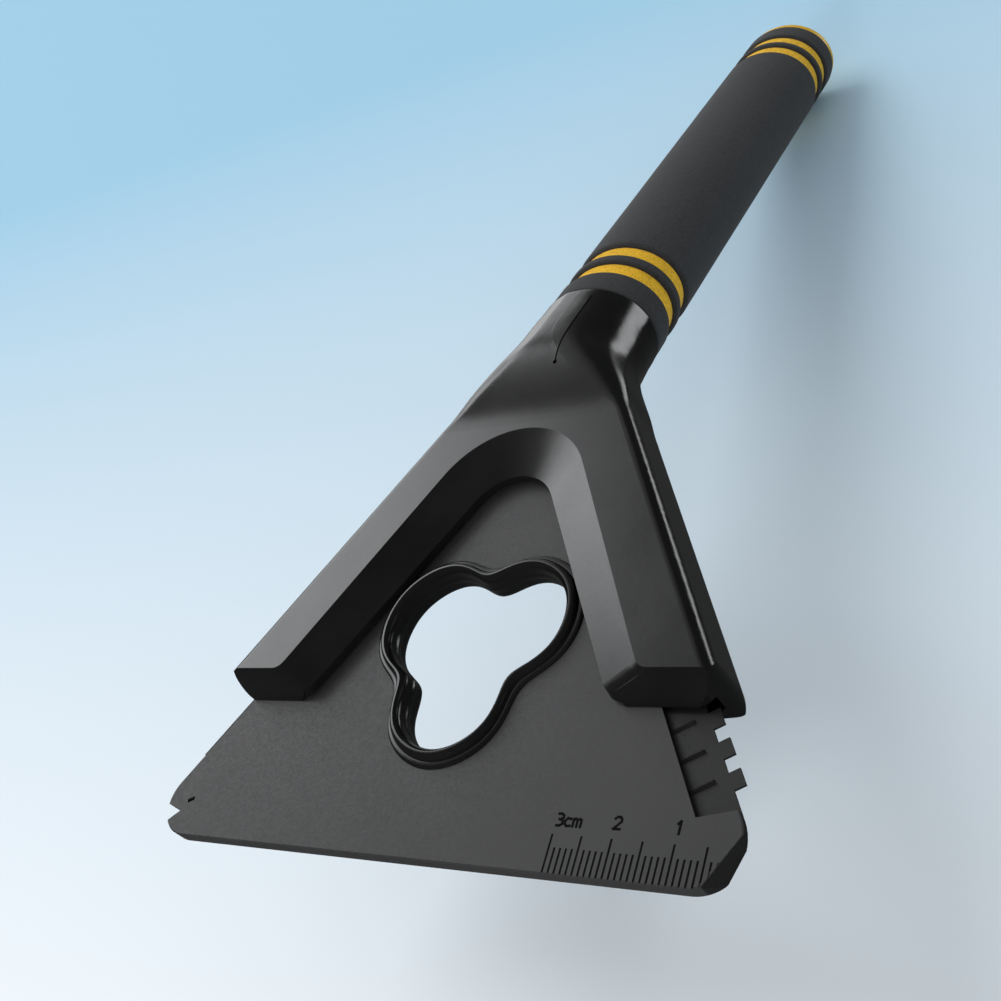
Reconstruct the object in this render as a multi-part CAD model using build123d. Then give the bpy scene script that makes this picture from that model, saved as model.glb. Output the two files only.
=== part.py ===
from build123d import *
import math
import os

# Ice scraper: a rounded triangular blade plate turns about a three-lobed grip ring inside a
# two-shell fork, and the fork's neck carries an oval handle that leans back.
# +X runs along the scraping edge, +Y towards the handle, +Z out of the front. Sizes in mm.
# The pieces are built with z = 0 on the blade's front face. save() moves them so that the
# origin is the centre of the ring, in the middle of the blade's thickness.

os.makedirs("parts", exist_ok=True)

COS30, SIN30 = math.cos(math.radians(30)), 0.5

# ---------------------------------------------------------------- driving dimensions
# blade plate
PLATE_T = 3.0                # thickness
MID_Z = -PLATE_T / 2         # parting level, the middle of the plate
EDGE_Y = -35.86              # scraping edge
SIDE_R = 35.7                # ice-breaker side (+X), distance from the datum
SIDE_L = 35.4                # squeegee side (-X), distance from the datum
CORNER_R = (7.0, 6.5, 7.0)   # plate corners: top, squeegee end, ruler end
BACK_BREAK, EDGE_BREAK = 0.3, 0.2
# toothed side
TOOTH_PITCH = 5.25
TOOTH_COUNT = 17
TOOTH_LAST = 43.6            # last tooth, along the side from its middle
TOOTH_W = 2.85
TOOTH_OUT = 1.85             # how far a tooth stands out
TOOTH_ROOT = 0.8             # overlap of a tooth with the plate
TOOTH_Z = -1.0               # front level of the toothed band
TOOTH_T = 0.45               # tooth thickness
GRIND_W = 7.0                # width of the ground bevel on the back
BAND_W = 6.06                # width of the lowered band
RIDGE_START = -5.9           # inner end of a ridge, outward from the side line
RIDGE_SHIFT = 1.06           # ridge to tooth middle, along the side
RIDGE_LEN, RIDGE_HALF, RIDGE_H, RIDGE_SINK = 3.7, 0.42, 0.5, 0.1
# facet at the ruler's end: distance from the datum at each of two levels
FACET_FRONT, FACET_FRONT_Z = 62.3091, 1.0
FACET_BACK, FACET_BACK_Z = 64.6727, -3.2
FACET_FAR = 70.0
# marks near the squeegee end of the scraping edge
NICK = [(-57.6, -30.2), (-52.9, -31.5), (-56.4, -34.6), (-59.5, -34.5)]
PIT_POS, PIT_SIZE, PIT_TURN, PIT_R = (-51.3, -29.3, -1.0), (1.7, 0.8, 3.2), 25, 0.3
# ruler
RULER_X3 = 27.03             # the 3 cm line
TICK_COUNT = 28              # one line per millimetre
TICK_SHORT, TICK_LONG = 4.0, 6.0
TICK_W, TICK_DEEP = 0.26, 0.15
STROKE_W, STROKE_DEEP = 0.36, 0.12
# squeegee strip
STRIP_Z_BACK, STRIP_Z_FRONT = -2.1, -0.9
STRIP_OUT = 1.5              # how far the lip stands out of the plate
STRIP_SEAT = 3.0             # depth of the seat
STRIP_ROOT_W, STRIP_ROOT_STEP = 1.2, 0.3     # thicker root that holds the strip
STRIP_HALF = 44.5            # half length
STRIP_TIP_R = 0.35
# three-lobed grip ring
RING_Y = 1.34                # ring centre
LOBE_MEAN = 16.286           # mean radius, then the amplitudes of its 3, 6 and 9-fold waves
LOBE_WAVES = ((3, 3.302), (6, -0.619), (9, 0.161))
LOBE_POINTS = 48
RING_WALL = 1.2
RING_BEAD = 2.25
RING_FLANGE = 3.3
BEAD_Z = 1.8
RING_GAP = 0.05
# fork: walls are given by distance from the ring centre and angle in degrees
HEAD_H = 6.9                 # half thickness
OUT_D, OUT_A = 40.1, 29.1    # outer wall
LIP_D, LIP_A, LIP_CY = 21.8, 30.26, 25.45    # inner lip, with its arch centre
TOP_D, TOP_A, TOP_CY = 29.3, 28.7, 26.4      # the same at the outer faces
LIP_H = 3.8                  # half thickness at the inner lip
POCKET_HALF = 1.65           # half height of the plate slot
POCKET_D = 37.9              # slot walls, distance from the datum
POCKET_R = 9.0
RELIEF_OUT, RELIEF_HALF = 1.7, 2.3           # relief for the ring's flange
SLAB_Y = 45.0                # where the flat fork turns into the neck
BAR_Y = -14.0                # start of the flat bar, beyond the leg ends
EDGE_R = 2.5                 # rounding of the fork's outer edges
TIP_R, INNER_R = 4.5, 2.6    # outer and inner corners of each leg, seen from the front
# handle; stations are distances along the handle axis
TILT = math.radians(16.28)   # the handle axis leans back by this
BASE = (0.0, 75.14, -6.04)   # start of the handle axis
GRIP_HALF = 12.5             # half width of the oval grip
OVAL = 0.86                  # thickness / width
TAPER = 0.003
YELLOW_LOW = 11.48           # half width of the lower yellow rings
YELLOW_UP = YELLOW_LOW - 0.15
TUBE_R, BORE_R = 8.5, 7.0
FOAM_CLEAR = 0.05
GRIP_START, TUBE_END = 0.6, 132.0
SPIGOT_R, SPIGOT_LEN, SPIGOT_SINK, SPIGOT_BREAK = 6.95, 38.0, 5.0, 0.8
PIN_R, PIN_STATION, PIN_LEN = 1.5, 20.0, 16.6
PIN_BORE_LEN = 40
CAP_END, CAP_HALF, CAP_ROUND, CAP_STEM = 134.5, 11.8, 1.2, 14.0

AXIS = (0.0, math.cos(TILT), -math.sin(TILT))
# in this plane local y points to the back of the handle
HANDLE = Plane(origin=BASE, x_dir=(1, 0, 0), z_dir=AXIS)
PIN_PLACE = HANDLE * Pos(0, 0, PIN_STATION) * Rot(90, 0, 0)


# ---------------------------------------------------------------- helpers
def save(shape, name):
    shape = shape.moved(Location((0, -RING_Y, -MID_Z)))
    shape.label = name
    export_step(shape, "parts/" + name + ".step")


def largest(shape):
    return sorted(shape.solids(), key=lambda solid: solid.volume)[-1]


def poly_face(points):
    return make_face(Polyline(*points, close=True))


def slab(face, z_low, z_high):
    return extrude(Pos(0, 0, z_low) * face, amount=z_high - z_low, dir=(0, 0, 1))


def axis_pt(station):
    return tuple(BASE[i] + station * AXIS[i] for i in range(3))


def lobe_face(offset):
    # three-lobed outline, moved outward by offset
    points = []
    for i in range(LOBE_POINTS):
        angle = 2 * math.pi * i / LOBE_POINTS
        radius = LOBE_MEAN + offset
        for fold, size in LOBE_WAVES:
            radius += size * math.cos(fold * (angle - math.pi / 6))
        points.append((radius * math.cos(angle), RING_Y + radius * math.sin(angle)))
    return make_face(Spline(*points, periodic=True))


# ---------------------------------------------------------------- blade plate
def toothed_pt(out, along):
    # out beyond the toothed side, along it towards the ruler end
    return ((SIDE_R + out) * COS30 + along * SIN30, (SIDE_R + out) * SIN30 - along * COS30)


def toothed_slab(points, z_low, z_high):
    return slab(poly_face([toothed_pt(*point) for point in points]), z_low, z_high)


def plate_outline():
    def meet(normal_a, dist_a, normal_b, dist_b):
        det = normal_a[0] * normal_b[1] - normal_a[1] * normal_b[0]
        return ((dist_a * normal_b[1] - dist_b * normal_a[1]) / det,
                (normal_a[0] * dist_b - normal_b[0] * dist_a) / det)

    right = ((COS30, SIN30), SIDE_R)
    left = ((-COS30, SIN30), SIDE_L)
    bottom = ((0.0, -1.0), -EDGE_Y)
    corners = [meet(*right, *left), meet(*left, *bottom), meet(*bottom, *right)]
    face = poly_face(corners)
    for corner, radius in zip(corners, CORNER_R):
        nearest = sorted(face.vertices(),
                         key=lambda v: math.hypot(v.X - corner[0], v.Y - corner[1]))[0]
        face = fillet([nearest], radius)
    return face


def add_teeth(plate):
    half = TOOTH_W / 2
    # local y of each ridge plane points to the back
    ridge = poly_face([(-RIDGE_HALF, RIDGE_SINK), (RIDGE_HALF, RIDGE_SINK), (RIDGE_HALF, 0.0),
                       (0.0, -RIDGE_H), (-RIDGE_HALF, 0.0)])
    for i in range(TOOTH_COUNT):
        along = TOOTH_LAST - i * TOOTH_PITCH
        plate += toothed_slab([(-TOOTH_ROOT, along - half), (TOOTH_OUT, along - half),
                               (TOOTH_OUT, along + half), (-TOOTH_ROOT, along + half)],
                              TOOTH_Z - TOOTH_T, TOOTH_Z)
        start = toothed_pt(RIDGE_START, along - RIDGE_SHIFT)
        ridge_plane = Plane(origin=(*start, TOOTH_Z), x_dir=(SIN30, -COS30, 0),
                            z_dir=(COS30, SIN30, 0))
        plate += extrude(ridge_plane * ridge, amount=RIDGE_LEN)
    return largest(plate)


def squeegee_prism():
    # profile as (outward from the squeegee side, z); local y of the plane is -Z
    root = -STRIP_SEAT + STRIP_ROOT_W
    root_front = STRIP_Z_FRONT + STRIP_ROOT_STEP
    root_back = STRIP_Z_BACK - STRIP_ROOT_STEP
    profile = [
        (STRIP_OUT, STRIP_Z_BACK), (STRIP_OUT, STRIP_Z_FRONT),
        (root, STRIP_Z_FRONT), (root, root_front),
        (-STRIP_SEAT, root_front), (-STRIP_SEAT, root_back),
        (root, root_back), (root, STRIP_Z_BACK),
    ]
    plane = Plane(origin=(-SIDE_L * COS30, SIDE_L * SIN30, 0), x_dir=(-COS30, SIN30, 0),
                  z_dir=(-SIN30, -COS30, 0))
    face = poly_face([(out, -z) for out, z in profile])
    return extrude(plane * face, amount=STRIP_HALF, both=True)


# strokes of each character, in a unit box
GLYPH = {
    "3": [[(0, 1), (.55, 1), (1, .87), (1, .66), (.6, .53), (.3, .53)],
          [(.6, .53), (1, .4), (1, .13), (.55, 0), (0, 0)]],
    "c": [[(1, .62), (.35, .66), (0, .45), (0, .18), (.35, 0), (1, .04)]],
    "m": [[(0, 0), (0, .66)],
          [(0, .55), (.3, .66), (.5, .55), (.5, 0)],
          [(.5, .55), (.8, .66), (1, .55), (1, 0)]],
    "2": [[(0, .85), (.3, 1), (.75, 1), (1, .82), (1, .62), (0, 0), (1, 0)]],
    "1": [[(.1, .78), (.6, 1), (.6, 0)]],
}
# text, x, y, height, width, gap
NUMERALS = [
    ("3cm", 27.2, -28.55, 1.8, 1.05, 0.45),
    ("2", 36.8, -28.4, 1.8, 1.2, 0),
    ("1", 46.75, -28.4, 1.85, 0.85, 0),
]


def stroke(start, end):
    run, rise = end[0] - start[0], end[1] - start[1]
    return (Pos((start[0] + end[0]) / 2, (start[1] + end[1]) / 2, 0)
            * Rot(0, 0, math.degrees(math.atan2(rise, run)))
            * Box(math.hypot(run, rise) + STROKE_W * 0.9, STROKE_W, 2 * STROKE_DEEP))


def text_strokes(text, x, y, height, width, gap):
    strokes = []
    for char in text:
        char_w = width * (1.25 if char == "m" else 0.9)
        for line in GLYPH[char]:
            points = [(x + u * char_w, y + v * height) for u, v in line]
            strokes += [stroke(*pair) for pair in zip(points[:-1], points[1:])]
        x += char_w + gap
    return strokes


def blade_plate():
    plate = slab(plate_outline(), -PLATE_T, 0)
    back_edges = [e for e in plate.edges() if abs(e.center().Z + PLATE_T) < 1e-6]
    plate = chamfer(back_edges, BACK_BREAK)
    # back of the toothed side is ground to a thin edge
    grind_plane = Plane(origin=(*toothed_pt(0, 0), 0), x_dir=(COS30, SIN30, 0),
                        z_dir=(SIN30, -COS30, 0))
    thin_z = TOOTH_Z - TOOTH_T
    grind = poly_face([(-GRIND_W, -PLATE_T - 1.0), (-GRIND_W, -PLATE_T), (0.0, thin_z),
                       (6.0, thin_z), (6.0, -PLATE_T - 1.0)])
    plate -= extrude(grind_plane * grind, amount=75, both=True)
    # fine break on the front of the scraping edge
    scraping = [e for e in plate.edges()
                if abs(e.center().Z) < 1e-6 and abs(e.center().Y - EDGE_Y) < 0.01]
    plate = chamfer(scraping, EDGE_BREAK)
    # lowered band along the toothed side
    plate -= toothed_slab([(-BAND_W, 46.98), (0.38, 48.8), (4, 49.8), (4, -49.8),
                           (0.38, -48.8), (-BAND_W, -46.98)], TOOTH_Z, 1)
    plate = add_teeth(plate)
    # sloping facet at the ruler's end, cut back further at the front; local y is -Z
    facet_plane = Plane(origin=(0, 0, 0), x_dir=(COS30, -SIN30, 0), z_dir=(SIN30, COS30, 0))
    wedge = poly_face([(FACET_FRONT, -FACET_FRONT_Z), (FACET_BACK, -FACET_BACK_Z),
                       (FACET_FAR, -FACET_BACK_Z), (FACET_FAR, -FACET_FRONT_Z)])
    plate -= extrude(facet_plane * wedge, amount=15, both=True)
    # hole for the grip ring
    plate -= slab(lobe_face(RING_WALL + RING_GAP), -PLATE_T - 1, 1)
    plate -= squeegee_prism()
    # nick and pit at the lower left corner
    plate -= slab(poly_face(NICK), -PLATE_T - 1, 1)
    pit = Pos(*PIT_POS) * Rot(0, 0, PIT_TURN) * Box(*PIT_SIZE)
    plate -= fillet(pit.edges().filter_by(Axis.Z), PIT_R)
    # ruler lines from the 3 cm line towards the corner
    for i in range(TICK_COUNT):
        length = TICK_LONG if i % 5 == 0 else TICK_SHORT
        plate -= (Pos(RULER_X3 + i, EDGE_Y + length / 2 - 0.5, 0)
                  * Box(TICK_W, length + 1.0, 2 * TICK_DEEP))
    for numeral in NUMERALS:
        for mark in text_strokes(*numeral):
            plate -= mark
    return largest(plate)


def squeegee_strip():
    strip = squeegee_prism()
    # the two long edges of the lip's tip
    tip = [e for e in strip.edges() if e.length > 80 and
           (Vector(e.center().X, e.center().Y, 0).dot(Vector(-COS30, SIN30, 0))
            > SIDE_L + STRIP_OUT - 0.01)]
    return largest(fillet(tip, STRIP_TIP_R))


# ---------------------------------------------------------------- grip ring
# lofted outlines: level, offset from the lobe outline
BEAD_OUTER = [(0.0, RING_BEAD), (0.5, RING_BEAD), (1.0, RING_BEAD - 0.12),
              (1.45, RING_BEAD - 0.42), (1.72, RING_BEAD - 0.78), (BEAD_Z, RING_BEAD - 1.15)]
RING_INNER = [(MID_Z - 0.5, 0.0), (-0.5, 0.0), (0.35, 0.0), (0.85, 0.12), (1.3, 0.4),
              (1.65, 0.75), (BEAD_Z + 0.2, 1.3)]
FLANGE = [(0.0, RING_FLANGE), (0.18, RING_FLANGE - 0.04), (0.38, RING_FLANGE - 0.2),
          (0.52, RING_FLANGE - 0.5), (0.58, RING_FLANGE - 0.95)]


def lobe_loft(stations):
    return loft([Pos(0, 0, z) * lobe_face(offset) for z, offset in stations])


def ring_front():
    # sleeve through the plate, flange on its face and rounded bead
    outer = lobe_loft(BEAD_OUTER)
    inner = lobe_loft(RING_INNER)
    sleeve = slab(lobe_face(RING_WALL), MID_Z, 0.0)
    return largest(sleeve + lobe_loft(FLANGE) + outer - inner)


# ---------------------------------------------------------------- fork: neck and bar
NECK_END_Y = axis_pt(0.5)[1]         # neck meets the grip
NECK_HALF = GRIP_HALF - 0.15
BEND_Y = 59.6                        # handle axis meets the middle of the fork here
BEND_HALF = 8.5                      # half length of the bend
SLOPE = AXIS[2] / AXIS[1]
# control points of the bend, as (y, z)
BEND_START = (BEND_Y - BEND_HALF, MID_Z)
BEND_MID = (BEND_Y, MID_Z)
BEND_END = (BEND_Y + BEND_HALF, MID_Z + SLOPE * BEND_HALF)
# neck sections as shares of the way from SLAB_Y to NECK_END_Y
NECK_SHARES = (0, 0.06, 0.15, 0.25, 0.35, 0.45, 0.55, 0.65, 0.75, 0.85, 0.93, 1.0)
# rounded leg ends: distance from MID_Z, y; the last row lies beyond the faces
NOSE = [(0.0, -9.6), (1.7, -9.3), (3.8, -8.1), (6.35, -6.3), (HEAD_H, -5.6), (8.0, -4.2)]
# fine groove along the front of the neck, ending in a small pit
GROOVE_X, GROOVE_Y, GROOVE_W, GROOVE_LEN, GROOVE_DEEP = 3.9, 66.6, 0.32, 19.4, 0.25
GROOVE_PIT_Y, GROOVE_PIT_R, GROOVE_PIT_DEEP = 56.6, 0.42, 1.0
# inner corners of the legs: share from lip (0) to outer face (1), distance from MID_Z
CORNER_LEVELS = [(0.0, 1.2), (0.0, LIP_H), (0.82, 6.35), (1.0, HEAD_H), (1.3, HEAD_H + 0.93)]


def wall_x(dist, angle, y):
    # x of the wall on the +X side at a given y
    turn = math.radians(angle)
    return (dist - (y - RING_Y) * math.sin(turn)) / math.cos(turn)


def smooth(share):
    share = max(0.0, min(1.0, share))
    return share * share * (3 - 2 * share)


def neck_middle(y):
    # z and slope: level, then a smooth bend, then along the handle axis
    past = y - (BEND_Y - BEND_HALF)
    if past <= 0:
        return MID_Z, 0.0
    if past >= 2 * BEND_HALF:
        return MID_Z + SLOPE * (y - BEND_Y), SLOPE
    return MID_Z + SLOPE * past * past / (4 * BEND_HALF), SLOPE * past / (2 * BEND_HALF)


def soft_bar_wire(plane, half_w, half_h, round_w, round_h):
    # four flats and four elliptical corners
    corners = [(1, 1, 0), (-1, 1, 90), (-1, -1, 180), (1, -1, 270)]
    tangents = [(0, 1), (-1, 0), (0, -1), (1, 0)]
    arcs = []
    for sign_w, sign_h, start in corners:
        arc = []
        for i in range(7):
            angle = math.radians(start + 90 * i / 6)
            point = Vector(sign_w * (half_w - round_w) + round_w * math.cos(angle),
                           sign_h * (half_h - round_h) + round_h * math.sin(angle), 0)
            arc.append(plane.from_local_coords(point))
        arcs.append(arc)
    edges = []
    for i in range(4):
        ends = [plane.from_local_coords(Vector(*tangents[j], 0)) - plane.origin
                for j in (i, (i + 1) % 4)]
        edges.append(Edge.make_spline(arcs[i], tangents=ends))
        edges.append(Edge.make_line(arcs[i][-1], arcs[(i + 1) % 4][0]))
    return Wire(edges)


def neck_section(share, shrink=0.0):
    # the flat section of the fork turns into the oval section of the handle
    y = SLAB_Y + share * (NECK_END_Y - SLAB_Y)
    z, slope = neck_middle(y)
    length = math.hypot(1.0, slope)
    # width follows the fork's outer wall and eases into the neck's width
    excess = wall_x(OUT_D, OUT_A, y) - NECK_HALF
    ease = 3.2 * smooth((y - SLAB_Y) / 9.0)
    half_w = (NECK_HALF + 0.5 * (excess + math.sqrt(excess * excess + ease * ease))
              - 0.35 * smooth((y - 66.0) / 9.0))
    half_h = HEAD_H + (GRIP_HALF * OVAL - HEAD_H) * smooth((y - SLAB_Y) / 16.5)
    half_w, half_h = half_w - shrink, half_h - shrink
    blend = smooth((y - SLAB_Y) / 20.0)
    round_w = EDGE_R + (half_w - 0.4 - EDGE_R) * blend
    round_h = EDGE_R + (half_h - 0.4 - EDGE_R) * blend
    plane = Plane(origin=(0, y, z), x_dir=(1, 0, 0), z_dir=(0, 1.0 / length, slope / length))
    return soft_bar_wire(plane, half_w, half_h, round_w, round_h)


def neck_solid(shrink=0.0):
    return Solid.make_loft([neck_section(share, shrink) for share in NECK_SHARES], False)


def fork_bar():
    # flat part of the fork, widening towards the leg ends
    start = Plane(origin=(0, BAR_Y, MID_Z), x_dir=(1, 0, 0), z_dir=(0, 1, 0))
    start_wire = soft_bar_wire(start, wall_x(OUT_D, OUT_A, BAR_Y), HEAD_H, EDGE_R, EDGE_R)
    bar = Solid.make_loft([start_wire, neck_section(0)], True)
    # rounded leg ends, seen from the side
    curve = [(0, y, MID_Z + rise) for rise, y in reversed(NOSE[:5])]
    curve += [(0, y, MID_Z - rise) for rise, y in NOSE[1:5]]
    far_low, far_high = (0, 60, MID_Z - HEAD_H), (0, 60, MID_Z + HEAD_H)
    side_view = Face(Wire([Edge.make_spline(curve), Edge.make_line(curve[-1], far_low),
                           Edge.make_line(far_low, far_high),
                           Edge.make_line(far_high, curve[0])]))
    bar = bar & extrude(side_view, amount=80, dir=(1, 0, 0), both=True)
    # rounded outer corners, seen from the front
    nose_y, far_y = NOSE[0][1], SLAB_Y + 5
    nose_x, far_x = wall_x(OUT_D, OUT_A, nose_y), wall_x(OUT_D, OUT_A, far_y)
    plan = poly_face([(nose_x, nose_y), (far_x, far_y), (-far_x, far_y), (-nose_x, nose_y)])
    plan = fillet([v for v in plan.vertices() if v.Y < 0], TIP_R)
    return bar & slab(plan, -20, 20)


# ---------------------------------------------------------------- fork: openings
def arch_face(radius, center_y, angle, base_x, base_y):
    # two straight sides joined by an arch, closed by a line at base_y
    turn = math.radians(angle)
    x, y = radius * math.cos(turn), center_y + radius * math.sin(turn)
    return Face(Wire([
        Edge.make_line((base_x, base_y), (x, y)),
        Edge.make_three_point_arc((x, y), (0, center_y + radius), (-x, y)),
        Edge.make_line((-x, y), (-base_x, base_y)),
        Edge.make_line((-base_x, base_y), (base_x, base_y)),
    ]))


def vee_face(dist, angle, center_y, base_y):
    radius = dist - (center_y - RING_Y) * math.sin(math.radians(angle))
    return arch_face(radius, center_y, angle, wall_x(dist, angle, base_y), base_y)


def vee_wall(share):
    # distance and angle of the V's wall: share 0 at the inner lip, 1 at the outer face
    return LIP_D + share * (TOP_D - LIP_D), LIP_A + share * (TOP_A - LIP_A)


def vee(share):
    return vee_face(*vee_wall(share), LIP_CY + share * (TOP_CY - LIP_CY), -40)


def vee_opening():
    # straight at the lip, bevelled out towards both faces
    opening = slab(vee(0), MID_Z - LIP_H, MID_Z + LIP_H)
    for sign in (1, -1):
        lip_z = MID_Z + sign * LIP_H
        outer_z = lip_z + sign * 1.5 * (HEAD_H - LIP_H)
        wires = [(Pos(0, 0, lip_z) * vee(0)).outer_wire(),
                 (Pos(0, 0, outer_z) * vee(1.5)).outer_wire()]
        opening += Solid.make_loft(wires, True)
    return opening


def leg_end_y(rise):
    # y of the leg end at a distance from the middle level
    for (rise_a, y_a), (rise_b, y_b) in zip(NOSE[:-1], NOSE[1:]):
        if rise <= rise_b:
            return y_a + (y_b - y_a) * (rise - rise_a) / (rise_b - rise_a)


def corner_cut(share, z, side):
    # plan region outside the rounded corner between the V's wall and the leg end
    dist, angle = vee_wall(share)
    end_y = leg_end_y(abs(z - MID_Z))
    turn = math.radians(angle)
    normal = (math.cos(turn), math.sin(turn))    # the material lies beyond this wall
    center_y = end_y + INNER_R
    center_x = (dist + INNER_R - (center_y - RING_Y) * normal[1]) / normal[0]
    on_wall = (center_x - INNER_R * normal[0], center_y - INNER_R * normal[1])
    on_end = (center_x, end_y)
    mid_angle = (math.atan2(-normal[1], -normal[0]) - math.pi / 2) / 2
    on_arc = (center_x + INNER_R * math.cos(mid_angle),
              center_y + INNER_R * math.sin(mid_angle))
    reach = 4.0
    past_wall = (on_wall[0] - reach * normal[0], on_wall[1] - reach * normal[1])
    past_end = (on_end[0], on_end[1] - reach)
    outside = (past_wall[0] - 1.0, past_end[1])
    points = [(side * x, y, z)
              for x, y in (on_wall, on_arc, on_end, past_end, outside, past_wall)]
    loop = points[2:] + points[:1]
    return Wire([Edge.make_three_point_arc(*points[:3])]
                + [Edge.make_line(*pair) for pair in zip(loop[:-1], loop[1:])])


def whole_head():
    neck = neck_solid()
    head = largest(fork_bar() + neck)
    head = largest(head - vee_opening())
    levels = [(share, MID_Z - rise) for share, rise in reversed(CORNER_LEVELS)]
    levels += [(share, MID_Z + rise) for share, rise in CORNER_LEVELS]
    for side in (1, -1):
        cuts = [corner_cut(share, z, side) for share, z in levels]
        head = largest(head - Solid.make_loft(cuts, True))
    # slot for the plate, open at the leg ends
    slot_base_y = -30
    slot = arch_face(POCKET_R, (POCKET_D - POCKET_R) * 2, 30,
                     (POCKET_D - SIN30 * slot_base_y) / COS30, slot_base_y)
    head = largest(head - slab(slot, MID_Z - POCKET_HALF, MID_Z + POCKET_HALF))
    # shallow relief under the lips for the ring's flange
    relief = vee_face(LIP_D + RELIEF_OUT, LIP_A, LIP_CY, -30)
    head = largest(head - slab(relief, MID_Z - RELIEF_HALF, MID_Z + RELIEF_HALF))
    groove = Pos(GROOVE_X, GROOVE_Y, 15.0) * Box(GROOVE_W, GROOVE_LEN, 30.0)
    head = largest(head - ((groove & neck) - neck_solid(GROOVE_DEEP)))
    pit = Pos(GROOVE_X, GROOVE_PIT_Y, 15.0) * Cylinder(GROOVE_PIT_R, 30.0)
    head = largest(head - ((pit & neck) - neck_solid(GROOVE_PIT_DEEP)))
    # spigot that carries the handle tube
    spigot = extrude(HANDLE * Pos(0, 0, -SPIGOT_SINK) * Circle(SPIGOT_R),
                     amount=SPIGOT_LEN + SPIGOT_SINK)
    spigot = chamfer([e for e in spigot.edges() if e.center().Y > BASE[1] + 20], SPIGOT_BREAK)
    head = largest(head + spigot)
    return head - PIN_PLACE * Cylinder(PIN_R, PIN_BORE_LEN)


# ---------------------------------------------------------------- the two shells
def split_side(head, far_z):
    # keep the part of the head between the parting surface and the level far_z;
    # the surface follows the plate, the bend of the neck and the handle axis
    far = axis_pt(70)
    start, far_corner, near_corner = (0, -60, MID_Z), (0, far[1], far_z), (0, -60, far_z)
    face = Face(Wire([
        Edge.make_line(start, (0, *BEND_START)),
        Edge.make_bezier((0, *BEND_START), (0, *BEND_MID), (0, *BEND_END)),
        Edge.make_line((0, *BEND_END), far),
        Edge.make_line(far, far_corner),
        Edge.make_line(far_corner, near_corner),
        Edge.make_line(near_corner, start),
    ]))
    return largest(head & extrude(face, amount=90, dir=(1, 0, 0), both=True))


def leg_quad(side, inner, outer, y_low, y_high):
    # four-sided outline along one leg, between two distances from the ring centre
    corners = [(inner, 29.0, y_low), (outer, 29.6, y_low),
               (outer, 29.6, y_high), (inner, 29.0, y_high)]
    return poly_face([(side * wall_x(dist, angle, y), y) for dist, angle, y in corners])


# hollows inside each leg: y spans
CORE_IN, CORE_OUT, CORE_R = 30.6, 36.2, 1.0
CORE_GAP, CORE_SKIN = 1.0, 2.2       # from the middle level, and under the outer face
FRONT_SPANS = [(-5.0, 10.0), (12.0, 27.0), (29.0, 41.0)]
REAR_SPANS = [(-5.0, 7.5), (28.5, 41.0)]


def cut_cores(shell, side, spans, z_low, z_high):
    for span in spans:
        outline = fillet(leg_quad(side, CORE_IN, CORE_OUT, *span).vertices(), CORE_R)
        shell -= slab(outline, z_low, z_high)
    return shell


# bowed retaining strips under the plate, one in each leg of the rear shell
SPRING_Y = (9.5, 26.5)
SPRING_IN, SPRING_W, SPRING_T = 31.0, 4.6, 0.5
SPRING_SIDE_GAP, SPRING_END_GAP = 0.6, 1.7
SPRING_FOOT = 1.5                    # flat foot at each end
SPRING_DEEP = 1.9                    # depth of its pocket below the slot
SPRING_CLEAR = 0.03                  # gap to the plate
SPRING_FLOOR = MID_Z - POCKET_HALF - SPRING_DEEP
SPRING_OUT = SPRING_IN + SPRING_W


def spring_pocket(side):
    return slab(leg_quad(side, SPRING_IN, SPRING_OUT, *SPRING_Y), SPRING_FLOOR, MID_Z)


def blade_spring(side):
    # bow in the plane of the leg's direction and Z
    angle = 29.3
    turn = math.radians(angle)
    y_low, y_high = SPRING_Y
    mid_y = (y_low + y_high) / 2
    mid_x = side * wall_x((SPRING_IN + SPRING_OUT) / 2, angle, mid_y)
    leg_dir = Vector(-side * math.sin(turn), math.cos(turn), 0)
    plane = Plane(origin=(mid_x, mid_y, SPRING_FLOOR), x_dir=leg_dir,
                  z_dir=leg_dir.cross(Vector(0, 0, 1)))
    half = (y_high - y_low) / 2 / math.cos(turn) - SPRING_END_GAP
    foot = half - SPRING_FOOT
    rise = SPRING_DEEP + POCKET_HALF - PLATE_T / 2 - SPRING_T - SPRING_CLEAR
    profile = Wire([
        Edge.make_line((-half, 0), (-foot, 0)),
        Edge.make_three_point_arc((-foot, 0), (0, rise), (foot, 0)),
        Edge.make_line((foot, 0), (half, 0)),
        Edge.make_line((half, 0), (half, SPRING_T)),
        Edge.make_line((half, SPRING_T), (foot, SPRING_T)),
        Edge.make_three_point_arc((foot, SPRING_T), (0, rise + SPRING_T), (-foot, SPRING_T)),
        Edge.make_line((-foot, SPRING_T), (-half, SPRING_T)),
        Edge.make_line((-half, SPRING_T), (-half, 0)),
    ])
    spring = extrude(plane * Face(profile), amount=(SPRING_W - SPRING_SIDE_GAP) / 2, both=True)
    return largest(spring)


# neck screws, driven from the back across the parting surface
SCREW_X, SCREW_STATION = 7.3, -7.0
SCREW_R, SCREW_CLEAR = 1.25, 0.04    # clearance all round the shank
SCREW_HEAD_R, SCREW_HEAD_H, SCREW_HEAD_CLEAR = 2.6, 1.6, 0.15
SCREW_SINK = 3.2                     # head seat below the oval's surface
SCREW_REACH = 5.0                    # shank in front of the handle axis
CROSS_LEN, CROSS_W, CROSS_H = 3.0, 0.6, 1.6


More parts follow.
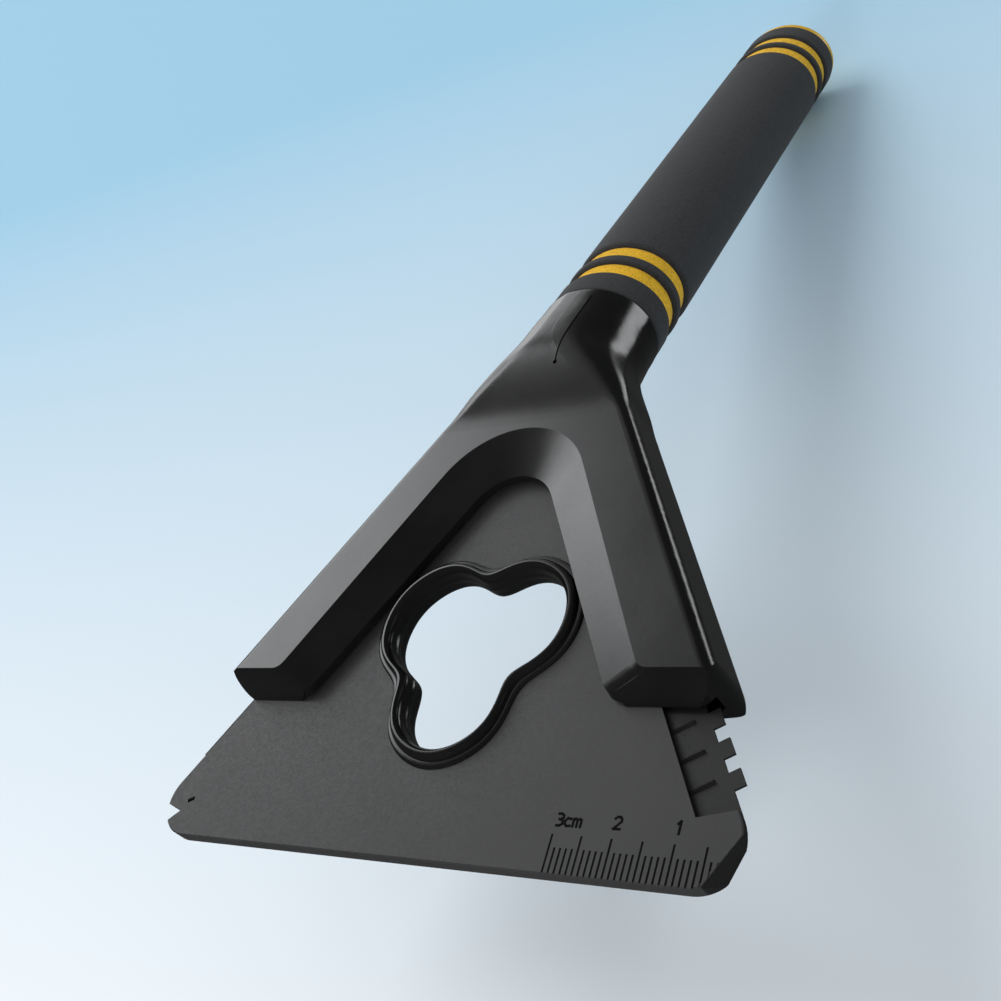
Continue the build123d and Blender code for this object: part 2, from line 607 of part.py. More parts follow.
def neck_screw(side):
    # the screw, its shank hole and the bore for its head
    place = HANDLE * Pos(side * SCREW_X, 0, SCREW_STATION)
    seat = GRIP_HALF * OVAL * math.sqrt(1 - (SCREW_X / GRIP_HALF) ** 2) - SCREW_SINK

    def rod(center, radius, length):
        return place * Pos(0, center, 0) * Rot(90, 0, 0) * Cylinder(radius, length)

    shank_mid = (seat - SCREW_REACH) / 2
    shank = rod(shank_mid, SCREW_R, seat + SCREW_REACH)
    screw_head = rod(seat + SCREW_HEAD_H / 2, SCREW_HEAD_R, SCREW_HEAD_H)
    cross = place * Pos(0, seat + SCREW_HEAD_H, 0) * (
        Box(CROSS_LEN, CROSS_H, CROSS_W) + Box(CROSS_W, CROSS_H, CROSS_LEN))
    screw = largest(shank + screw_head - cross)
    hole = rod(shank_mid, SCREW_R + SCREW_CLEAR, seat + SCREW_REACH + 0.2)
    bore = rod(seat + 15, SCREW_HEAD_R + SCREW_HEAD_CLEAR, 30)
    return screw, hole, bore


def shells_and_screws():
    head = whole_head()
    front, rear = split_side(head, 60.0), split_side(head, -60.0)
    for side in (1, -1):
        front = cut_cores(front, side, FRONT_SPANS,
                          MID_Z + CORE_GAP, MID_Z + HEAD_H - CORE_SKIN)
        rear = cut_cores(rear, side, REAR_SPANS,
                         MID_Z - HEAD_H + CORE_SKIN, MID_Z - CORE_GAP)
    front, rear = largest(front), largest(rear)
    for side in (1, -1):
        rear -= spring_pocket(side)
    rear = largest(rear)
    screws = []
    for side in (1, -1):
        screw, hole, bore = neck_screw(side)
        rear -= hole
        rear -= bore
        front -= hole
        screws.append(screw)
    return largest(front), largest(rear), Compound(children=screws)


# ---------------------------------------------------------------- handle
# each piece starts where the one before ends:
# name, end station, half width (None follows the taper), rim rounding
GRIP_PIECES = [
    ("collar_ring", 7.5, None, 0.7),
    ("lower_yellow_ring_1", 11.6, YELLOW_LOW, 0),
    ("lower_black_ring", 14.2, None, 0.6),
    ("lower_yellow_ring_2", 18.2, YELLOW_LOW, 0),
    ("foam_sleeve", 116.0, None, 0.8),
    ("upper_yellow_ring_1", 119.9, YELLOW_UP, 0),
    ("upper_black_ring", 122.2, None, 0.6),
    ("upper_yellow_ring_2", 126.0, YELLOW_UP, 0),
    ("end_ring", 132.1, None, 0.7),
]
CAP_START = GRIP_PIECES[-1][1]


def oval_wire(station, half_width):
    half = GRIP_HALF - TAPER * station if half_width is None else half_width
    oval = HANDLE * Pos(0, 0, station) * Ellipse(half, half * OVAL)
    return oval.face().outer_wire()


def grip_piece(start, end, half_width, rounding):
    piece = Solid.make_loft([oval_wire(start, half_width), oval_wire(end, half_width)], True)
    piece = piece - extrude(HANDLE * Pos(0, 0, start - 1) * Circle(TUBE_R + FOAM_CLEAR),
                            amount=end - start + 2)
    if rounding:
        # the oval rims are longer than the rims of the bore
        rims = [e for e in piece.edges() if e.length > 55 and e.geom_type != GeomType.LINE]
        # guards the rim fillet: if it can't be built, the rims stay sharp
        try:
            piece = fillet(rims, rounding)
        except Exception:
            pass
    return largest(piece)


def handle_tube():
    tube = extrude(HANDLE * Pos(0, 0, GRIP_START) * (Circle(TUBE_R) - Circle(BORE_R)),
                   amount=TUBE_END - GRIP_START)
    tube -= PIN_PLACE * Cylinder(PIN_R, PIN_BORE_LEN)
    return largest(tube)


def end_cap():
    cap = extrude(HANDLE * Pos(0, 0, CAP_START) * Ellipse(CAP_HALF, CAP_HALF * OVAL),
                  amount=CAP_END - CAP_START)
    outer_rim = [e for e in cap.edges()
                 if abs((e @ 0.25 - Vector(*BASE)).dot(Vector(*AXIS)) - CAP_END) < 0.01]
    cap = fillet(outer_rim, CAP_ROUND)
    # stem that plugs the tube
    cap += extrude(HANDLE * Pos(0, 0, CAP_START - CAP_STEM) * Circle(SPIGOT_R),
                   amount=CAP_STEM)
    return largest(cap)


# ---------------------------------------------------------------- build and save
save(blade_plate(), "blade_plate")
save(squeegee_strip(), "squeegee_strip")

ring = ring_front()
save(ring, "trefoil_ring_front")
save(largest(mirror(ring, about=Plane.XY.offset(MID_Z))), "trefoil_ring_rear")

save(blade_spring(1), "blade_spring_right")
save(blade_spring(-1), "blade_spring_left")
front_shell, rear_shell, neck_screws = shells_and_screws()
save(front_shell, "head_front_shell")
save(rear_shell, "head_rear_shell")
save(neck_screws, "neck_screws")

piece_start = GRIP_START
for piece_name, piece_end, piece_half, piece_round in GRIP_PIECES:
    save(grip_piece(piece_start, piece_end, piece_half, piece_round), piece_name)
    piece_start = piece_end
save(handle_tube(), "handle_tube")
save(largest(PIN_PLACE * Cylinder(PIN_R, PIN_LEN)), "spigot_pin")
save(end_cap(), "yellow_end_cap")
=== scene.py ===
"""A hand squeegee lying on a pale floor, front face up.

In the frame, X runs across the blade, +Y runs up towards the handle and +Z is the front.
The origin is the ring centre, in the middle of the blade's thickness. Sizes are in millimetres,
counted from a datum on the blade's front face, and point() turns them into frame metres.
The foam on the handle and the ruler's ink are built here; the CAD pieces only get materials.
"""
import math
import bpy
import bmesh
import numpy as np
from mathutils import Matrix, Vector


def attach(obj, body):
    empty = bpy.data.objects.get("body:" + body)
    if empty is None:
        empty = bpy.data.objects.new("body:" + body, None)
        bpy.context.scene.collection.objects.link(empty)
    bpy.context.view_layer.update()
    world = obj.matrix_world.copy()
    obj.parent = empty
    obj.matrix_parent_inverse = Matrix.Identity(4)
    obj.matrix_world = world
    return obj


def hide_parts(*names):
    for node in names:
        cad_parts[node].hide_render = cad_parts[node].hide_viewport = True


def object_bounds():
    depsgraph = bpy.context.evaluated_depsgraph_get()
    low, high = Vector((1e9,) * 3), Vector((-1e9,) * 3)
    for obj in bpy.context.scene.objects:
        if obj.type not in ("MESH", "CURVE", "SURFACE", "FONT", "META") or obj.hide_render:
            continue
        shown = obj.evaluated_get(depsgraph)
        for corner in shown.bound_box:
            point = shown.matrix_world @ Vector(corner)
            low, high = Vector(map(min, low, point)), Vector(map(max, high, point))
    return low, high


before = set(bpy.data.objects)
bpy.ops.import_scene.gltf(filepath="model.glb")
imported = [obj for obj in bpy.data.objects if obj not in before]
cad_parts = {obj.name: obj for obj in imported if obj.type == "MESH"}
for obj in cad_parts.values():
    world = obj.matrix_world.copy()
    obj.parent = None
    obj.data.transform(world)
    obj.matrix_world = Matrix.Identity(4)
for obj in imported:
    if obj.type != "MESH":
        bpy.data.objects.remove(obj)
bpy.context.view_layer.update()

MM = 0.001
FRAME_ORIGIN = (0.0, 1.34, -1.5)    # the frame's origin, counted from the datum
COS_30, SIN_30 = math.cos(math.radians(30)), 0.5

# handle axis: starts at this point and leans to the rear as it rises along +Y
HANDLE_Y, HANDLE_Z = 75.14, -6.04
TILT = math.radians(16.28)


def point(x, y, z):
    """A point given in millimetres from the datum, in frame metres."""
    return Vector([(value - origin) * MM for value, origin in zip((x, y, z), FRAME_ORIGIN)])


def handle_point(along, across, forward):
    """A point given along the handle's axis, across it and towards its front (mm)."""
    y = HANDLE_Y + along * math.cos(TILT) + forward * math.sin(TILT)
    z = HANDLE_Z - along * math.sin(TILT) + forward * math.cos(TILT)
    return point(across, y, z)


def link_object(name, data):
    made = bpy.data.objects.new(name, data)
    bpy.context.scene.collection.objects.link(made)
    return made


def mesh_object(name, verts, faces):
    mesh = bpy.data.meshes.new(name)
    mesh.from_pydata([tuple(v) for v in verts], [], faces)
    mesh.update()
    return link_object(name, mesh)


# ---------------------------------------------------------------- shader graphs
class Graph:
    """A node tree; wherever an input is given, it may be a value or another node's output."""

    def __init__(self, tree):
        self.tree = tree
        self.coords = self.node("ShaderNodeTexCoord")

    def feed(self, socket, value):
        if isinstance(value, bpy.types.NodeSocket):
            self.tree.links.new(value, socket)
        else:
            socket.default_value = value

    def node(self, kind, inputs=None, **settings):
        made = self.tree.nodes.new(kind)
        for key, value in settings.items():
            setattr(made, key, value)
        for key, value in (inputs or {}).items():
            self.feed(made.inputs[key], value)
        return made

    def math(self, operation, a, b):
        return self.node("ShaderNodeMath", {0: a, 1: b}, operation=operation).outputs[0]

    def dot(self, vector, direction):
        made = self.node("ShaderNodeVectorMath", {0: vector, 1: direction},
                         operation="DOT_PRODUCT")
        return made.outputs["Value"]

    def map_range(self, value, source, target, **settings):
        inputs = {"Value": value, "From Min": source[0], "From Max": source[1],
                  "To Min": target[0], "To Max": target[1]}
        return self.node("ShaderNodeMapRange", inputs, **settings).outputs["Result"]


class SurfaceGraph(Graph):
    """The graph of a new Principled material."""

    def __init__(self, name):
        self.material = bpy.data.materials.new(name)
        self.material.use_nodes = True
        super().__init__(self.material.node_tree)
        self.shader = self.tree.nodes["Principled BSDF"]
        MATERIALS[name] = self.material

    def surface(self, **inputs):
        """Set Principled inputs; underscores in the names stand for spaces."""
        for key, value in inputs.items():
            self.feed(self.shader.inputs[key.replace("_", " ")], value)

    def noise(self, scale, detail, roughness=0.5, vector=None):
        inputs = {"Scale": scale, "Detail": detail, "Roughness": roughness,
                  "Vector": vector or self.coords.outputs["Object"]}
        return self.node("ShaderNodeTexNoise", inputs).outputs["Fac"]

    def ramp(self, value, stops):
        made = self.node("ShaderNodeValToRGB", {"Fac": value})
        elements = made.color_ramp.elements
        while len(elements) < len(stops):
            elements.new(0.5)
        for element, (position, colour) in zip(elements, stops):
            element.position = position
            element.color = (*colour, 1)
        return made.outputs["Color"]

    def multiply(self, first, second, factor):
        inputs = {"Fac": factor, "Color1": first, "Color2": second}
        made = self.node("ShaderNodeMixRGB", inputs, blend_type="MULTIPLY")
        return made.outputs["Color"]

    def bump(self, height, strength, distance, normal=None):
        inputs = {"Strength": strength, "Distance": distance, "Height": height}
        if normal is not None:
            inputs["Normal"] = normal
        return self.node("ShaderNodeBump", inputs).outputs["Normal"]


MATERIALS = {}              # by name
NOISE_SPAN = (0.3, 0.7)     # the part of a noise's range that is used


def shade(colour, factor):
    return tuple(value * factor for value in colour)


def glossy_black(name, roughness):
    """Polished plastic with a faint orange peel."""
    base = (0.004, 0.004, 0.0042)
    graph = SurfaceGraph(name)
    broad = graph.noise(scale=90, detail=2)
    fine = graph.noise(scale=1400, detail=3)
    broad_change = graph.map_range(broad, NOISE_SPAN, (-0.02, 0.03))
    fine_roughness = graph.map_range(fine, NOISE_SPAN, (roughness - 0.02, roughness + 0.03))
    peel = graph.noise(scale=260, detail=2)
    peel_normal = graph.bump(peel, strength=0.022, distance=0.0003)
    graph.surface(
        IOR=1.5,
        Roughness=graph.math("ADD", broad_change, fine_roughness),
        Base_Color=graph.ramp(broad, [(0.3, base), (0.7, shade(base, 1.5))]),
        Normal=graph.bump(fine, strength=0.02, distance=0.0001, normal=peel_normal))


def foam(name, base, pore_depth):
    """Matt foam: small pores, with painted shade in them, over broad blotches."""
    graph = SurfaceGraph(name)
    voronoi = graph.node("ShaderNodeTexVoronoi",
                         {"Scale": 2300, "Vector": graph.coords.outputs["Object"]}, feature="F1")
    cells = graph.noise(scale=900, detail=4, roughness=0.6)
    blotches = graph.noise(scale=45, detail=3, roughness=0.55)
    pores = graph.math("ADD", graph.math("MULTIPLY", voronoi.outputs["Distance"], 0.6),
                       graph.math("MULTIPLY", cells, 0.7))
    # painted shade in the pores: 0.62 of the base in the pores, up to 1.22 on the raised cell
    # walls
    pore_shaded_colour = graph.ramp(
        pores, [(0.32, shade(base, 0.62)), (0.55, base), (0.85, shade(base, 1.22))])
    blotch_colour = graph.ramp(blotches, [(0.35, (0.78, 0.78, 0.78)), (0.65, (1.0, 1.0, 1.0))])
    pore_normal = graph.bump(pores, strength=pore_depth, distance=0.00018)
    graph.surface(
        Base_Color=graph.multiply(pore_shaded_colour, blotch_colour, factor=0.35),
        Roughness=0.88, Specular_IOR_Level=0.28, Sheen_Weight=0.08, Sheen_Roughness=0.5,
        Normal=graph.bump(blotches, strength=0.12, distance=0.0006, normal=pore_normal))


def moulded(name, base, roughness, grain_depth, grain_scale):
    """Plastic or rubber with a fine moulded grain."""
    graph = SurfaceGraph(name)
    grain = graph.noise(scale=grain_scale, detail=4, roughness=0.6)
    broad = graph.noise(scale=70, detail=3)
    grain_colour = graph.ramp(grain, [(0.3, shade(base, 0.86)), (0.7, shade(base, 1.12))])
    broad_colour = graph.ramp(broad, [(0.3, (0.9, 0.9, 0.9)), (0.7, (1, 1, 1))])
    graph.surface(
        Roughness=graph.map_range(grain, NOISE_SPAN, (roughness - 0.06, roughness + 0.08)),
        Base_Color=graph.multiply(grain_colour, broad_colour, factor=1.0),
        Normal=graph.bump(grain, strength=grain_depth, distance=0.00008))
    return graph


def metal(name, base, roughness, stretch=(1, 1, 1)):
    """Bare metal; stretch scales the grain's coordinates to draw it out along an axis."""
    graph = SurfaceGraph(name)
    mapping = graph.node("ShaderNodeMapping",
                         {"Scale": stretch, "Vector": graph.coords.outputs["Object"]})
    grain = graph.noise(scale=900, detail=3, roughness=0.6, vector=mapping.outputs["Vector"])
    graph.surface(
        Metallic=1.0,
        Base_Color=graph.ramp(grain, [(0.3, shade(base, 0.82)), (0.7, base)]),
        Roughness=graph.map_range(grain, NOISE_SPAN, (roughness - 0.06, roughness + 0.1)),
        Normal=graph.bump(grain, strength=0.15, distance=0.0001))


def blade_grey():
    """Grained grey, with painted shade on the lowered toothed band and on the ruler corner's
    facet.
    """
    toothed_side = 35.7     # from the datum, 30 degrees above +X
    band_width = 6.06
    margin = 0.05
    facet_start = 62.93     # from the datum, 30 degrees below +X
    band_top, band_bottom = 1.30, -0.10     # frame Z: under the face, in the front half
    datum_shift = FRAME_ORIGIN[1] * SIN_30  # from datum to frame, along either direction

    graph = moulded("blade_grey", (0.030, 0.030, 0.0305), roughness=0.50,
                    grain_depth=0.22, grain_scale=1700)
    position = graph.node("ShaderNodeTexCoord").outputs["Object"]
    height = graph.node("ShaderNodeSeparateXYZ", {0: position}).outputs["Z"]
    to_teeth = graph.dot(position, (COS_30, SIN_30, 0.0))
    to_corner = graph.dot(position, (COS_30, -SIN_30, 0.0))

    band_start = toothed_side - band_width - datum_shift - margin
    in_band = graph.math("GREATER_THAN", to_teeth, band_start * MM)
    lowered = graph.math("LESS_THAN", height, band_top * MM)
    front = graph.math("GREATER_THAN", height, band_bottom * MM)
    band = graph.math("MULTIPLY", graph.math("MULTIPLY", in_band, lowered), front)
    facet = graph.math("GREATER_THAN", to_corner, (facet_start + datum_shift) * MM)
    # painted shade mask: the lowered toothed band and the corner facet
    painted_shade_mask = graph.math("MAXIMUM", band, facet)

    grey = graph.shader.inputs["Base Color"].links[0].from_socket
    # painted shade: the grey is multiplied down to 0.36 inside the mask
    graph.surface(Base_Color=graph.multiply(grey, (0.36, 0.36, 0.36, 1), factor=painted_shade_mask))


def ruler_ink():
    graph = moulded("ruler_ink", (0.002, 0.002, 0.002), roughness=0.75,
                    grain_depth=0.1, grain_scale=1200)
    graph.surface(Specular_IOR_Level=0.12)


glossy_black("shell_black", roughness=0.19)
glossy_black("ring_black", roughness=0.17)
blade_grey()
moulded("strip_rubber", (0.008, 0.008, 0.0085), roughness=0.6, grain_depth=0.12, grain_scale=900)
foam("foam_black", (0.030, 0.030, 0.031), pore_depth=0.35)
foam("foam_yellow", (0.72, 0.41, 0.016), pore_depth=0.25)
moulded("cap_yellow", (0.74, 0.43, 0.017), roughness=0.45, grain_depth=0.15, grain_scale=1100)
metal("tube_aluminium", (0.80, 0.80, 0.82), roughness=0.32, stretch=(1, 0.05, 1))
metal("pin_steel", (0.60, 0.60, 0.62), roughness=0.28)
metal("screw_steel", (0.55, 0.55, 0.58), roughness=0.30)
metal("spring_steel", (0.50, 0.50, 0.52), roughness=0.30, stretch=(1, 0.1, 1))
ruler_ink()


def paint(target, material):
    target.data.materials.clear()
    target.data.materials.append(MATERIALS[material])


def paint_slot(target, material):
    """Paint a piece with the named material."""
    paint(target, material)


CAD_MATERIALS = {
    "head_front_shell": "shell_black",
    "head_rear_shell": "shell_black",
    "neck_screws": "screw_steel",
    "handle_tube": "tube_aluminium",
    "spigot_pin": "pin_steel",
    "yellow_end_cap": "cap_yellow",
    "blade_spring_left": "spring_steel",
    "blade_spring_right": "spring_steel",
    "blade_plate": "blade_grey",
    "trefoil_ring_front": "ring_black",
    "trefoil_ring_rear": "ring_black",
    "squeegee_strip": "strip_rubber",
}
for cad_name, cad_material in CAD_MATERIALS.items():
    paint_slot(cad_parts[cad_name], cad_material)


# ---------------------------------------------------------------- foam rings and sleeve
BODY = 12.5             # half width of the black foam at the handle's base
TAPER = 0.003           # lost from it per millimetre along the handle
OVAL = 0.86             # depth over width
BORE = 8.56             # radius
LOWER_YELLOW = 11.48    # half widths of the yellow rings
UPPER_YELLOW = LOWER_YELLOW - 0.15
AROUND = 128            # points around a foam piece
EDGE_STEPS = 6          # steps over a rounded edge

# Each piece starts where the one before it ends.
FOAM_START = 0.6
FOAM_PIECES = (
    # object, CAD piece it replaces, end along the handle, half width (None: tapering body),
    # edge radius, length step, skin unevenness, material
    ("collar_ring_foam", "collar_ring", 7.5, None, 0.75, 1.6, 0.03, "foam_black"),
    ("lower_yellow_ring_1_foam", "lower_yellow_ring_1", 11.6, LOWER_YELLOW, 0.12, 1.6, 0.02,
     "foam_yellow"),
    ("lower_black_ring_foam", "lower_black_ring", 14.2, None, 0.65, 0.7, 0.03, "foam_black"),
    ("lower_yellow_ring_2_foam", "lower_yellow_ring_2", 18.2, LOWER_YELLOW, 0.12, 1.6, 0.02,
     "foam_yellow"),
    ("foam_sleeve_grip", "foam_sleeve", 116.0, None, 0.9, 1.6, 0.06, "foam_black"),
    ("upper_yellow_ring_1_foam", "upper_yellow_ring_1", 119.9, UPPER_YELLOW, 0.12, 1.6, 0.02,
     "foam_yellow"),
    ("upper_black_ring_foam", "upper_black_ring", 122.2, None, 0.65, 0.7, 0.03, "foam_black"),
    ("upper_yellow_ring_2_foam", "upper_yellow_ring_2", 126.0, UPPER_YELLOW, 0.12, 1.6, 0.02,
     "foam_yellow"),
    ("end_ring_foam", "end_ring", 132.1, None, 0.75, 1.6, 0.03, "foam_black"),
)


def smooth_noise(seed, around, along):
    """Random values from -1 to 1, smoothed both ways and closed around the piece."""
    grid = np.random.default_rng(seed).normal(size=(around, along))
    for _ in range(6):
        grid = (grid + np.roll(grid, 1, 0) + np.roll(grid, -1, 0)) / 3
        grid[:, 1:-1] = (grid[:, 1:-1] + grid[:, 2:] + grid[:, :-2]) / 3
    return grid / (np.abs(grid).max() + 1e-9)


def skin_stations(start, end, edge, step):
    """(place along the handle, inset from the full size) down the outer skin."""
    angles = [math.pi / 2 * i / EDGE_STEPS for i in range(EDGE_STEPS + 1)]
    straight = end - start - 2 * edge
    count = max(2, int(straight / step))
    stations = [(start + edge - edge * math.cos(t), edge * (1 - math.sin(t))) for t in angles]
    stations += [(start + edge + straight * i / count, 0.0) for i in range(1, count)]
    stations += [(end - edge + edge * math.sin(t), edge * (1 - math.cos(t))) for t in angles]
    return stations


def foam_tube(name, start, end, half_width, edge, step, unevenness, seed):
    """A closed oval tube: rounded outer edges, a slightly uneven skin and a round bore."""
    stations = skin_stations(start, end, edge, step)
    noise = smooth_noise(seed, AROUND, len(stations))
    verts = []

    def add_row(along, width, depth, bumps=np.zeros(AROUND)):
        for j in range(AROUND):
            angle = 2 * math.pi * j / AROUND
            verts.append(handle_point(along, (width + bumps[j]) * math.cos(angle),
                                      (depth + bumps[j]) * math.sin(angle)))

    for i, (along, inset) in enumerate(stations):
        size = half_width or BODY - TAPER * along
        add_row(along, size - inset, size * OVAL - inset, unevenness * noise[:, i])
    # each end face has a row halfway in to the bore
    size = half_width or BODY
    halfway = ((BORE + size - edge) / 2, (BORE + size * OVAL - edge) / 2)
    add_row(end, *halfway)
    add_row(end, BORE, BORE)
    add_row(start, BORE, BORE)
    add_row(start, *halfway)

    faces = []
    rows = len(verts) // AROUND
    for row in range(rows):
        near, far = row * AROUND, (row + 1) % rows * AROUND
        for j in range(AROUND):
            k = (j + 1) % AROUND
            faces.append((near + j, near + k, far + k, far + j))
    tube = mesh_object(name, verts, faces)
    tube.data.polygons.foreach_set("use_smooth", [True] * len(faces))
    mesh_edit = bmesh.new()
    mesh_edit.from_mesh(tube.data)
    bmesh.ops.recalc_face_normals(mesh_edit, faces=mesh_edit.faces)
    mesh_edit.to_mesh(tube.data)
    mesh_edit.free()
    return tube


piece_start = FOAM_START
for piece_seed, piece in enumerate(FOAM_PIECES, start=2):
    piece_name, replaced, piece_end, piece_width, radius, length_step, skin, colour = piece
    tube = foam_tube(piece_name, piece_start, piece_end, piece_width, edge=radius,
                     step=length_step, unevenness=skin, seed=piece_seed)
    paint_slot(tube, colour)
    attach(tube, "handle")
    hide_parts(replaced)
    piece_start = piece_end


# ---------------------------------------------------------------- ruler ink in the blade's grooves
RULER_3CM_X = 27.03         # the 3 cm line; the others follow towards +X, 1 mm apart
RULER_EDGE_Y = -35.86
RULER_LINES = 27
LINE_WIDTH = 0.34
LONG_LINE, SHORT_LINE = 6.0, 4.0    # every fifth line is long
LINE_EDGE_GAP, LINE_END_GAP = 0.25, 0.02
LINE_BOTTOM, LINE_TOP = -0.12, 0.006
CORNER_FACET = 62.9         # the corner facet's edge, 30 degrees below +X from the datum
FACET_GAP = 0.45

STROKE_WIDTH = 0.42
STROKE_BOTTOM, STROKE_TOP = -0.10, 0.010
STROKE_DROP = 0.0005        # top levels are staggered so that crossing strokes don't coincide

# pen strokes of each character in a unit cell
GLYPHS = {
    "3": [[(0, 1), (.55, 1), (1, .87), (1, .66), (.6, .53), (.3, .53)],
          [(.6, .53), (1, .4), (1, .13), (.55, 0), (0, 0)]],
    "c": [[(1, .62), (.35, .66), (0, .45), (0, .18), (.35, 0), (1, .04)]],
    "m": [[(0, 0), (0, .66)], [(0, .55), (.3, .66), (.5, .55), (.5, 0)],
          [(.5, .55), (.8, .66), (1, .55), (1, 0)]],
    "2": [[(0, .85), (.3, 1), (.75, 1), (1, .82), (1, .62), (0, 0), (1, 0)]],
    "1": [[(.1, .78), (.6, 1), (.6, 0)]],
}


def add_box(ink, x, y, length, width, bottom, top, angle=0.0):
    """A box centred on x, y; length runs along +X before it turns by the angle."""
    cos, sin = math.cos(angle), math.sin(angle)
    half_x, half_y = length / 2, width / 2
    corners = ((-half_x, -half_y), (half_x, -half_y), (half_x, half_y), (-half_x, half_y))
    verts = [ink.verts.new(point(x + dx * cos - dy * sin, y + dx * sin + dy * cos, z))
             for z in (bottom, top) for dx, dy in corners]
    for face in ((0, 3, 2, 1), (4, 5, 6, 7), (0, 1, 5, 4), (1, 2, 6, 5), (2, 3, 7, 6),
                 (3, 0, 4, 7)):
        ink.faces.new([verts[i] for i in face])


def ink_object(name, ink):
    mesh = bpy.data.meshes.new(name)
    ink.to_mesh(mesh)
    ink.free()
    made = link_object(name, mesh)
    paint(made, "ruler_ink")
    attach(made, "blade")


def ruler_lines():
    ink = bmesh.new()
    for i in range(RULER_LINES):
        x = RULER_3CM_X + i
        length = LONG_LINE if i % 5 == 0 else SHORT_LINE
        # the last lines stop short of the corner's facet
        facet_y = (x * COS_30 - (CORNER_FACET - FACET_GAP)) / SIN_30
        low = max(RULER_EDGE_Y + LINE_EDGE_GAP, facet_y)
        high = RULER_EDGE_Y + length - LINE_END_GAP
        add_box(ink, x, (low + high) / 2, LINE_WIDTH, high - low, LINE_BOTTOM, LINE_TOP)
    ink_object("ruler_ink_lines", ink)


def add_text(ink, text, x, y, height, width, gap=0.0):
    strokes = 0
    for character in text:
        cell = width * (1.25 if character == "m" else 0.9)
        for line in GLYPHS[character]:
            for start, end in zip(line[:-1], line[1:]):
                x0, y0 = x + start[0] * cell, y + start[1] * height
                x1, y1 = x + end[0] * cell, y + end[1] * height
                strokes += 1
                add_box(ink, (x0 + x1) / 2, (y0 + y1) / 2,
                        math.hypot(x1 - x0, y1 - y0) + STROKE_WIDTH * 0.8, STROKE_WIDTH,
                        STROKE_BOTTOM, STROKE_TOP - STROKE_DROP * (strokes % 9),
                        math.atan2(y1 - y0, x1 - x0))
        x += cell + gap


def ruler_numerals():
    ink = bmesh.new()
    add_text(ink, "3cm", x=27.2, y=-28.55, height=1.8, width=1.05, gap=0.45)
    add_text(ink, "2", x=36.8, y=-28.4, height=1.8, width=1.2)
    add_text(ink, "1", x=46.75, y=-28.4, height=1.85, width=0.85)
    ink_object("ruler_ink_numerals", ink)


ruler_lines()
ruler_numerals()


# ---------------------------------------------------------------- stage (metres)
def floor_material():
    """Matt floor, pale towards -Y and bluer towards +Y."""
    near, middle, far = (0.76, 0.785, 0.81), (0.50, 0.62, 0.71), (0.31, 0.52, 0.67)
    graph = SurfaceGraph("floor_pale")
    split = graph.node("ShaderNodeSeparateXYZ", {0: graph.coords.outputs["Object"]})
    distance = graph.map_range(split.outputs["Y"], (-0.10, 0.28), (0.0, 1.0))
    graph.surface(Base_Color=graph.ramp(distance, [(0.0, near), (0.55, middle), (1.0, far)]),
                  Roughness=0.9, Specular_IOR_Level=0.0)


def build_floor():
    """A square grid just under the lowest point, left out of reflections."""
    size, cells, gap = 6.0, 24, 0.0004
    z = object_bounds()[0].z - gap
    places = [-size / 2 + size * i / cells for i in range(cells + 1)]
    verts = [(x, y, z) for x in places for y in places]
    row = cells + 1
    corners = [i * row + j for i in range(cells) for j in range(cells)]
    floor = mesh_object("floor", verts, [(a, a + row, a + row + 1, a + 1) for a in corners])
    floor_material()
    paint(floor, "floor_pale")
    floor.visible_glossy = False


# Soft lights in the world, for the glossy faces to pick up:
# direction, angles from it in degrees where full strength ends and where it fades out, strength
SOFT_LIGHTS = (
    ((-0.85, 0.42, 0.50), 6, 23, 3.3),
    ((-0.55, 0.50, 0.65), 5, 36, 0.5),
    ((-0.62, 0.74, -0.02), 6, 28, 1.3),
    ((0.62, 0.76, -0.12), 5, 18, 4.2),
    ((0.9, 0.35, 0.1), 4, 20, 0.35),
    ((0.30, 0.93, -0.20), 3, 12, 3.2),
)


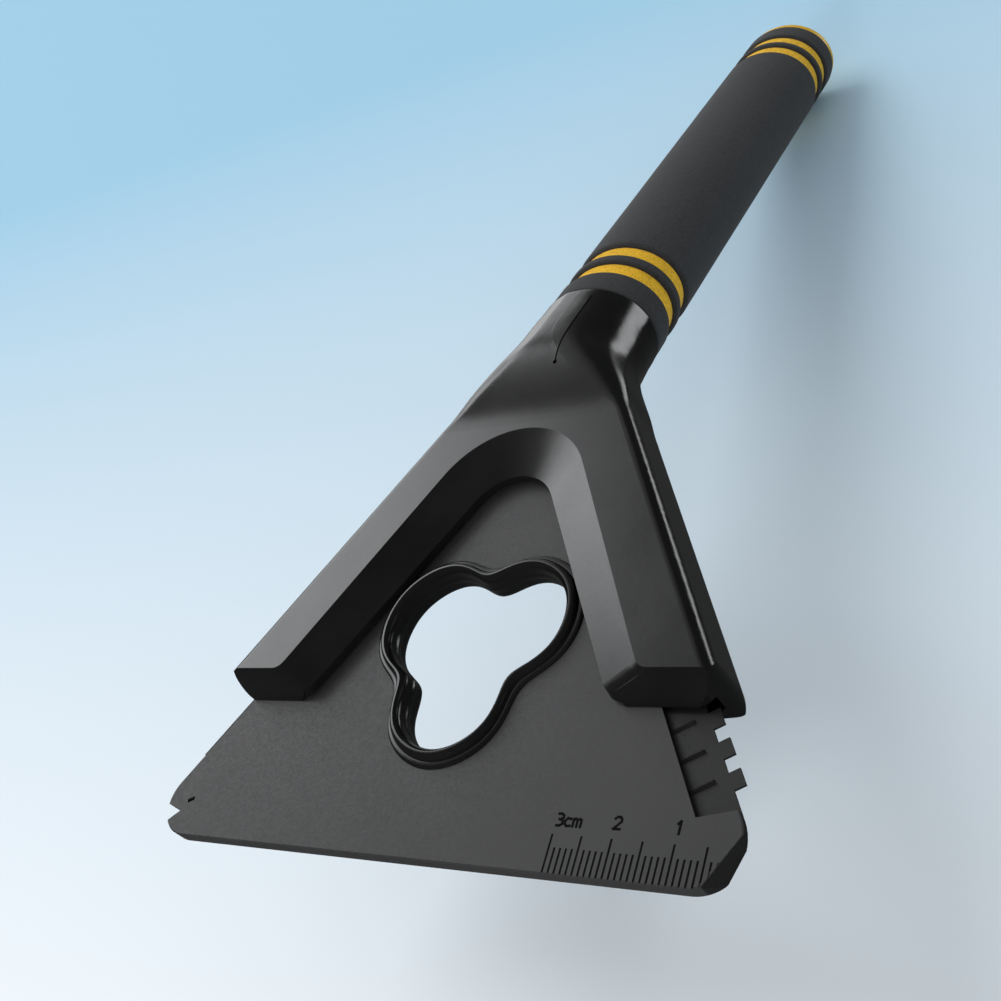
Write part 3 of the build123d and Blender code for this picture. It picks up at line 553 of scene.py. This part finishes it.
def build_world():
    """Dark with soft lights for reflections, even for diffuse rays, pale blue for the camera."""
    world = bpy.data.worlds.new("studio")
    bpy.context.scene.world = world
    world.use_nodes = True
    world.node_tree.nodes.clear()
    graph = Graph(world.node_tree)
    rays = graph.node("ShaderNodeLightPath").outputs

    strength = 0.06     # between the soft lights
    for direction, inner, outer, peak in SOFT_LIGHTS:
        facing = graph.dot(graph.coords.outputs["Generated"], Vector(direction).normalized())
        fade = (math.cos(math.radians(outer)), math.cos(math.radians(inner)))
        light = graph.map_range(facing, fade, (0.0, peak), interpolation_type="SMOOTHSTEP")
        strength = graph.math("ADD", strength, light)
    # diffuse rays see an even sky instead, for soft shadows (inputs: factor 0, values 2 and 3)
    mixed = graph.node("ShaderNodeMix", {0: rays["Is Diffuse Ray"], 2: strength, 3: 0.62},
                       data_type="FLOAT")
    lighting = graph.node("ShaderNodeBackground",
                          {"Color": (0.97, 0.985, 1.0, 1), "Strength": mixed.outputs[0]})
    backdrop = graph.node("ShaderNodeBackground",
                          {"Color": (0.80, 0.87, 0.94, 1), "Strength": 1.0})
    choice = graph.node("ShaderNodeMixShader", {"Fac": rays["Is Camera Ray"],
                                                1: lighting.outputs[0], 2: backdrop.outputs[0]})
    graph.node("ShaderNodeOutputWorld", {"Surface": choice.outputs[0]})


def disk_light(name, location, target, size, energy):
    """A round area light aimed at the target and left out of reflections."""
    data = bpy.data.lights.new(name, "AREA")
    data.shape = "DISK"
    data.size = size
    data.energy = energy
    light = link_object(name, data)
    light.location = location
    light.rotation_mode = "QUATERNION"
    aim = Vector(target) - Vector(location)
    light.rotation_quaternion = aim.to_track_quat("-Z", "Y")
    light.visible_glossy = False


def build_camera():
    """Looks down from in front, from the blade's lower right."""
    right = Vector((0.8034492009680341, 0.2908058654443024, -0.519520288426754))
    up = Vector((0.07555923060403967, 0.8157354748830574, 0.5734687765587925))
    back = Vector((0.5905592130636461, -0.5000075835829922, 0.6334289480479589))
    data = bpy.data.cameras.new("camera")
    camera = link_object("camera", data)
    data.sensor_width = 36.0
    data.sensor_fit = "HORIZONTAL"
    data.lens = 48.0606114
    data.clip_start = 0.005
    data.clip_end = 20
    camera.location = point(138.2555, -89.1274, 153.2835)
    camera.rotation_mode = "QUATERNION"
    camera.rotation_quaternion = Matrix((right, up, back)).transposed().to_quaternion()
    bpy.context.scene.camera = camera


build_floor()
build_world()
disk_light("key", location=(-1.40, 0.45, 2.10), target=(0, 0.05, 0), size=1.6, energy=27.0)
disk_light("fill", location=(-0.2, -1.9, 0.45), target=(0, 0, 0), size=1.4, energy=34.0)
build_camera()
bpy.context.scene.view_settings.view_transform = "Standard"
bpy.context.scene.view_settings.look = "None"

bpy.context.view_layer.update()
